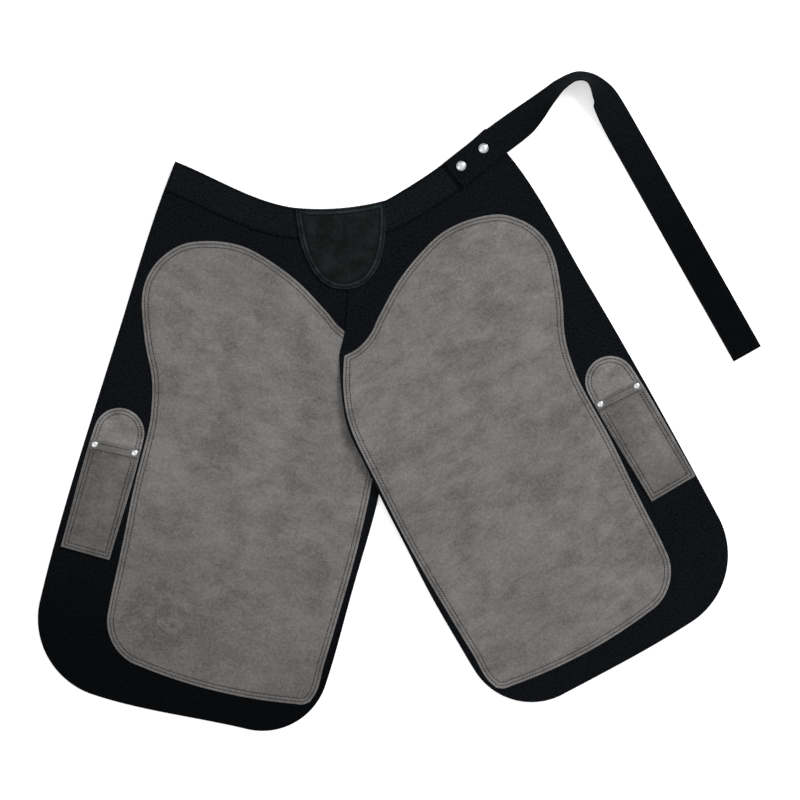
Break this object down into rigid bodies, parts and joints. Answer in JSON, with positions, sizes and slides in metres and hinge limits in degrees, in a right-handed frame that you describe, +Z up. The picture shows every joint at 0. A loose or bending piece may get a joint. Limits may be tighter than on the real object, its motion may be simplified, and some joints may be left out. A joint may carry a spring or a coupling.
{
  "type": "welding apron",
  "caption": "Split-leg welding apron in black canvas with grey suede leg panels, riveted knife pockets, a waistband and a waist strap held by press studs.",
  "frame": {"origin": "middle of the bounding box on the surface that the apron lies on", "axes": "+X towards the wearer's left as the apron is seen from the front, so to the right of the layout, +Y up the garment towards the waistband, +Z up out of the worked face"},
  "size_m": [1.0844, 0.99, 0.0451],
  "materials": {
    "black_canvas": "heavy black cotton canvas, matt, fine plain weave",
    "grey_suede": "light grey split leather, matt napped face with faint mottling",
    "black_leather": "soft black grain leather, slight sheen",
    "black_web": "folded black canvas strap, matt",
    "bright_steel": "bright nickel-plated steel",
    "hook_nylon": "black nylon hook tape"
  },
  "bodies": {
    "waist": {"left_canvas_yoke": "black_canvas", "left_suede_hip": "grey_suede", "left_waistband": "black_canvas", "right_canvas_yoke": "black_canvas", "right_suede_hip": "grey_suede", "right_waistband": "black_canvas", "centre_patch": "black_leather", "hook_tape": "hook_nylon", "stud_post_1": "bright_steel", "stud_1": "bright_steel", "stud_post_2": "bright_steel", "stud_2": "bright_steel"},
    "left_leg": {"left_canvas_leg": "black_canvas", "left_suede_leg": "grey_suede", "left_pocket_back": "grey_suede", "left_pocket_front": "grey_suede", "left_rivet_post_inner": "bright_steel", "left_rivet_cap_inner": "bright_steel", "left_rivet_post_outer": "bright_steel", "left_rivet_cap_outer": "bright_steel"},
    "right_leg": {"right_canvas_leg": "black_canvas", "right_suede_leg": "grey_suede", "right_pocket_back": "grey_suede", "right_pocket_front": "grey_suede", "right_rivet_post_inner": "bright_steel", "right_rivet_cap_inner": "bright_steel", "right_rivet_post_outer": "bright_steel", "right_rivet_cap_outer": "bright_steel"},
    "strap": {"strap": "black_web", "stud_socket_1": "bright_steel", "stud_cap_1": "bright_steel", "stud_socket_2": "bright_steel", "stud_cap_2": "bright_steel"},
    "strap_tail": {"strap_free_end": "black_web"}
  },
  "joints": [
    {"name": "left_leg_lift", "type": "hinge", "parent": "waist", "child": "left_leg", "pos_m": [-0.08279, 0.09307, 0.008], "axis": [-1, 0, 0], "range_deg": [0, 75]},
    {"name": "right_leg_lift", "type": "hinge", "parent": "left_leg", "child": "right_leg", "pos_m": [-0.08279, 0.09307, 0.008], "axis": [-1, 0, 0], "range_deg": [0, 60]},
    {"name": "strap_release", "type": "slide", "parent": "waist", "child": "strap", "axis": [0, 0, 1], "range_m": [0, 0.06]},
    {"name": "strap_swing", "type": "hinge", "parent": "strap", "child": "strap_tail", "pos_m": [0.27278, 0.49488, 0.02], "axis": [0, 0, 1], "range_deg": [-4, 95]}
  ]
}
